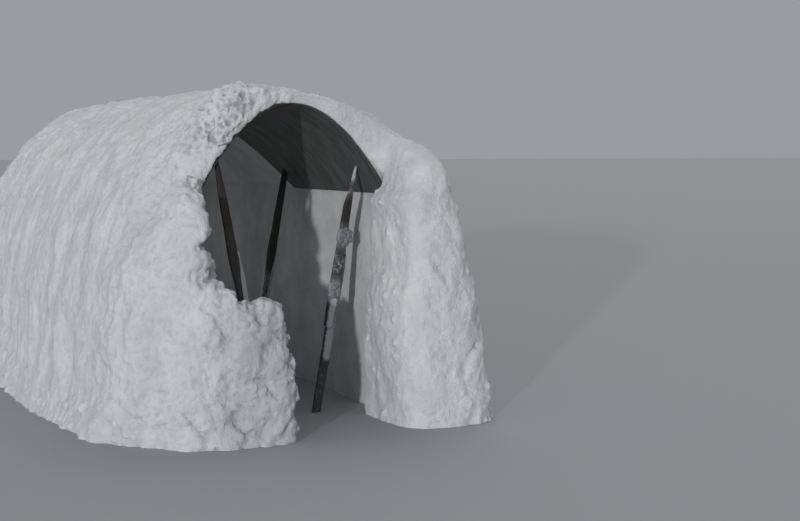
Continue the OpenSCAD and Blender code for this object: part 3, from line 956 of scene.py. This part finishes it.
# Rime, painted highlight and frost on a board: from and to as shares of its length from its foot,
# from and to across it as shares of its half width from left to right, how thick the white is, and
# how thick the frost. Each fades in along the board and across it. The white is rime, and on the
# front props it is also painted highlight where sunlit edges and ends were
rime_fade_along = 0.035
rime_fade_across = 0.3
rime_and_highlight_places = {
    "front_right_prop_head": [
        (-0.1, 0.18, -0.5, 0.7, 1.4, 1), (0.16, 0.30, -1.4, 1.4, 0.5, 1),
        (0.30, 0.45, -1.4, 1.4, 0.45, 0.2), (0.47, 0.60, -1.4, 1.4, 0.4, 1),
        (0.79, 0.845, -1.4, 1.4, 0.5, 0.7), (0.885, 0.96, -1.4, 0.6, 1.6, 1),
    ],
    "front_right_prop_foot": [
        (0.32, 0.74, -0.5, 0.8, 1.4, 1), (0.68, 1.1, -0.4, 1.4, 0.6, 1),
        (-0.1, 0.3, -1.4, -0.7, 0.5, 0.5), (-0.1, 0.3, -1.4, 1.4, 0.2, 0.3),
    ],
    "front_left_prop_foot": [(0.89, 1.1, -0.4, 1.4, 1.5, 1), (0.3, 0.9, -1.4, 1.4, 1.5, 1)],
    "front_left_prop_head": [(0.0, 0.6, -1.4, 1.4, 0.1, 0.1)],
    "back_right_prop_foot": [(0.3, 1.1, -1.4, 1.4, 0.95, 1)],
    "back_right_prop_head": [(-0.1, 0.28, -1.4, 1.4, 0.4, 0.5)],
    "back_left_prop_foot": [(0.5, 1.1, -1.4, 0.4, 0.6, 0.8)],
    "back_left_prop_head": [(-0.1, 0.4, -1.4, 1.4, 0.3, 0.3)],
}


def weathered_board():
    """Softwood gone nearly black, with grain lines a few millimetres apart along the board, a grey
    film of frost where "frost" is high, and white where "rime" is: crusts of rime, and painted
    highlights where sunlit edges and ends were."""
    material, tree = new_material("weathered_board")
    along = held_by(tree, "grain_place", "Vector")
    grain = noise(tree, mapped(tree, along, (2.5, 190, 60)), 1, 5, 0.65)
    wood = mixed(tree, spread(tree, grain, 0.35, 0.7), board_black, board_brown)
    film = maths(tree, "MULTIPLY", held_by(tree, "frost"), film_most)
    frosted = mixed(tree, film, wood, board_frost)
    crust = spread(tree, noise(tree, along, 45, 6, 0.75), 0.3, 0.7)
    held = maths(tree, "ADD", crust, held_by(tree, "rime"))
    rime = spread(tree, held, 0.75, 1.5, kind="SMOOTHSTEP")
    colour = mixed(tree, rime, frosted, board_rime_and_highlight)
    surfaced(tree, colour, 0.75, maths(tree, "ADD", grain, rime), 0.003, 0.6)
    return material


board_wood = weathered_board()


def board_axes(points):
    """A board's middle and its directions: along it from its foot, across it to the right, and
    through it."""
    middle = points.mean(axis=0)
    directions = np.linalg.eigh(np.cov((points - middle).T))[1]
    along = directions[:, 2] * np.sign(directions[2, 2])
    across = directions[:, 1] * np.sign(directions[0, 1])
    return middle, along, across, np.cross(along, across)


def cover_board(mesh, node, share, off):
    """Puts the rime and the frost on a board whose points lie at shares of its length and half
    width."""
    rime = np.zeros(len(share))
    frost = np.zeros(len(share))
    for start, end, left, right, thick, film in rime_and_highlight_places.get(node, []):
        inside = ramp(share, start - rime_fade_along, start + rime_fade_along)
        inside = inside * ramp(share, end + rime_fade_along, end - rime_fade_along)
        inside *= ramp(off, left - rime_fade_across, left + rime_fade_across)
        inside *= ramp(off, right + rime_fade_across, right - rime_fade_across)
        rime = np.maximum(rime, inside * thick)
        frost = np.maximum(frost, inside * film)
    set_attributes(mesh, rime=rime, frost=frost)


def prop_board(node, seed):
    """One board from its solid: cut across every few centimetres, so that its long edges wander a
    little, and its edges eased."""
    shape = bmesh.new()
    shape.from_mesh(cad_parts[node].data)
    bmesh.ops.remove_doubles(shape, verts=shape.verts, dist=weld_gap)
    bmesh.ops.dissolve_limit(
        shape, angle_limit=math.radians(1), verts=shape.verts, edges=shape.edges
    )
    points = np.array([v.co for v in shape.verts])
    middle, along, across, through = board_axes(points)
    reach = (points - middle) @ along
    low, high = reach.min(), reach.max()
    for at in np.arange(low + cut_gap, high - cut_gap, cut_gap):
        bmesh.ops.bisect_plane(
            shape,
            geom=shape.verts[:] + shape.edges[:] + shape.faces[:],
            plane_co=middle + along * at,
            plane_no=along,
        )
    chance = np.random.default_rng(seed)
    wander = chance.normal(0, edge_wander, (2, wander_points))
    shares, *edges = zip(*board_edges.get(node, [(0, -1, 1), (1, -1, 1)]))
    for vert in shape.verts:
        place = np.array(vert.co) - middle
        at = (place @ along - low) / (high - low)
        reach = place @ across
        side = 0 if reach < 0 else 1
        inset = abs(np.interp(at * (wander_points - 1), range(wander_points), wander[side]))
        edge = np.interp(at, shares, edges[side])
        edge = max(reach, edge) + inset if side == 0 else min(reach, edge) - inset
        vert.co += Vector(across * (edge - reach))
    piece = new_piece(f"board_{node}", [], [])
    shape.to_mesh(piece.data)
    shape.free()
    ease = piece.modifiers.new("eased", "BEVEL")
    ease.width = saw_bevel
    ease.limit_method = "ANGLE"
    ease.angle_limit = math.radians(bevel_angle)
    fine = piece.modifiers.new("fine", "SUBSURF")
    fine.subdivision_type = "SIMPLE"
    fine.levels = 2
    applied(piece)
    mesh = piece.data
    place = coordinates(mesh) - middle
    parts = np.stack([place @ along, place @ across, place @ through], axis=1)
    layer = mesh.attributes.new("grain_place", "FLOAT_VECTOR", "POINT")
    layer.data.foreach_set("vector", (parts + seed).astype(np.float32).ravel())
    share = (parts[:, 0] - low) / (high - low)
    cover_board(mesh, node, share, parts[:, 1] / np.abs(parts[:, 1]).max())
    dress(mesh, board_wood)
    mesh.set_sharp_from_angle(angle=math.radians(sharp_angle))
    return piece


for seed, node in enumerate(sorted(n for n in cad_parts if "prop" in n)):
    piece = prop_board(node, seed)
    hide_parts(node)
    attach(piece, "root")

# Snow caked round the ends of the front right prop's lap, thin, and coloured dark grey as painted
# shade: the share of the upper board's length, half sizes along and across, and how far it lies from
# the board's middle line. Each is a heap of small lumps that thins to its edge
caked_places = [(0.545, 0.056, 0.052, 0.012), (0.225, 0.050, 0.044, 0.004)]
caked_half_t = 0.007
caked_lumps = 70
caked_grain = 0.013
caked_grain_spread = (0.7, 1.3)
caked_taper = 0.6
caked_voxel = 0.004
caked_rounding = 12
# Painted shade: the dark greys of the caked crust
caked_shade_tones = ("#737679", "#909396")


def thin_crust():
    """Snow pressed thin on the boards, coloured dark grey as painted shade, with patches a few
    centimetres wide.
    """
    material, tree = new_material("shaded_snow_crust")
    place = add_node(tree, "ShaderNodeTexCoord").outputs["Object"]
    patches = spread(tree, noise(tree, place, 38, 4, 0.6), 0.35, 0.65)
    colour = mixed(tree, patches, *caked_shade_tones)
    surfaced(tree, colour, 0.85, noise(tree, place, 220, 3, 0.6), 0.002, 0.5)
    return material


def caked_snow():
    """Crusts of snow pressed round the boards where they end, of many small lumps."""
    points = np.array([v.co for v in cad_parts["front_right_prop_head"].data.vertices])
    middle, along, across, through = board_axes(points)
    reach = (points - middle) @ along
    chance = np.random.default_rng(7)
    shape = bmesh.new()
    for share, half_along, half_across, offset in caked_places:
        centre = middle + along * (reach.min() + share * np.ptp(reach)) + across * offset
        for lump in range(caked_lumps):
            turn = chance.uniform(0, math.tau)
            out = chance.uniform(0, 1) ** 0.5
            spot = centre + along * half_along * out * math.cos(turn)
            spot = spot + across * half_across * out * math.sin(turn)
            spot = spot + through * caked_half_t * chance.uniform(-1, 1) * (1 - caked_taper * out)
            size = chance.uniform(*caked_grain_spread) * caked_grain
            matrix = Matrix.Translation(spot)
            bmesh.ops.create_icosphere(shape, subdivisions=2, radius=size, matrix=matrix)
    piece = new_piece("snow_caked_on_prop", [], [])
    shape.to_mesh(piece.data)
    shape.free()
    add_remesh(piece, caked_voxel, caked_rounding)
    applied(piece)
    dress(piece.data, thin_crust())
    return piece


caked = caked_snow()
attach(caked, "root")

# Camera, floor and light
# The camera stands where the photograph was taken, at eye height left of the doorway. The key sun is
# low, and the two soft ones stand in for the sky in front and for snow that throws light back.
# Angles in degrees: how far the camera looks down, and how far to the right
camera_place = (-2.915, -9.141, 1.6)
camera_down = 4.727
camera_right = 26.7
camera_sensor = 36
camera_lens = 58.5
floor_half = 300.0
floor_z = -0.001
floor_grey = "#A9ACAF"
backdrop_grey = "#9A9DA0"
sky_strength = 0.34
lamp_places = [(-0.1, -0.6, 0.9), (-0.1, 1.0, 0.9)]
lamp_watts = 1.6
lamp_radius = 0.4
# Each sun: strength, width in degrees, and where it shines to
suns = {
    "key": (1.45, 2, (0.673, 0.731, -0.109)),
    "fill": (0.35, 60, (0.78, 0.62, -0.08)),
    "back": (0.75, 60, (-0.5, -0.5, -0.7)),
}

camera_data = bpy.data.cameras.new("camera")
camera_data.sensor_width = camera_sensor
camera_data.lens = camera_lens
camera = placed("camera", camera_data)
camera.location = camera_place
camera.rotation_euler = (math.radians(90 - camera_down), 0, math.radians(-camera_right))
bpy.context.scene.camera = camera

floor_material, tree = new_material("pale_floor")
settings = {"Base Color": linear(floor_grey), "Roughness": 0.9}
shader = add_node(tree, "ShaderNodeBsdfPrincipled", settings)
add_node(tree, "ShaderNodeOutputMaterial", {"Surface": shader.outputs[0]})
corners = [(-1, -1), (1, -1), (1, 1), (-1, 1)]
corners = [(x * floor_half, y * floor_half, floor_z) for x, y in corners]
floor = new_piece("floor", corners, [(0, 1, 2, 3)])
floor.data.materials.append(floor_material)

for name, (strength, width, towards) in suns.items():
    sun_data = bpy.data.lights.new(name, "SUN")
    sun_data.energy = strength
    sun_data.angle = math.radians(width)
    sun = placed(name, sun_data)
    sun.rotation_euler = Vector(towards).to_track_quat("-Z", "Y").to_euler()

# Two soft lamps inside stand in for the light that comes through the snow
for lamp_place in lamp_places:
    glow_data = bpy.data.lights.new("glow", "POINT")
    glow_data.energy = lamp_watts
    glow_data.shadow_soft_size = lamp_radius
    glow = placed("glow", glow_data)
    glow.location = lamp_place
    glow.visible_camera = False

world = bpy.data.worlds.new("studio")
world.use_nodes = True
world.node_tree.nodes.clear()
tree = world.node_tree
shown = add_node(tree, "ShaderNodeLightPath").outputs["Is Camera Ray"]
soft = add_node(tree, "ShaderNodeBackground", {"Color": linear("#FFFFFF"), "Strength": sky_strength})
back = add_node(tree, "ShaderNodeBackground", {"Color": linear(backdrop_grey), "Strength": 1.0})
sky = add_node(tree, "ShaderNodeMixShader", {0: shown, 1: soft.outputs[0], 2: back.outputs[0]})
add_node(tree, "ShaderNodeOutputWorld", {"Surface": sky.outputs[0]})
bpy.context.scene.world = world
bpy.context.scene.view_settings.view_transform = "Standard"
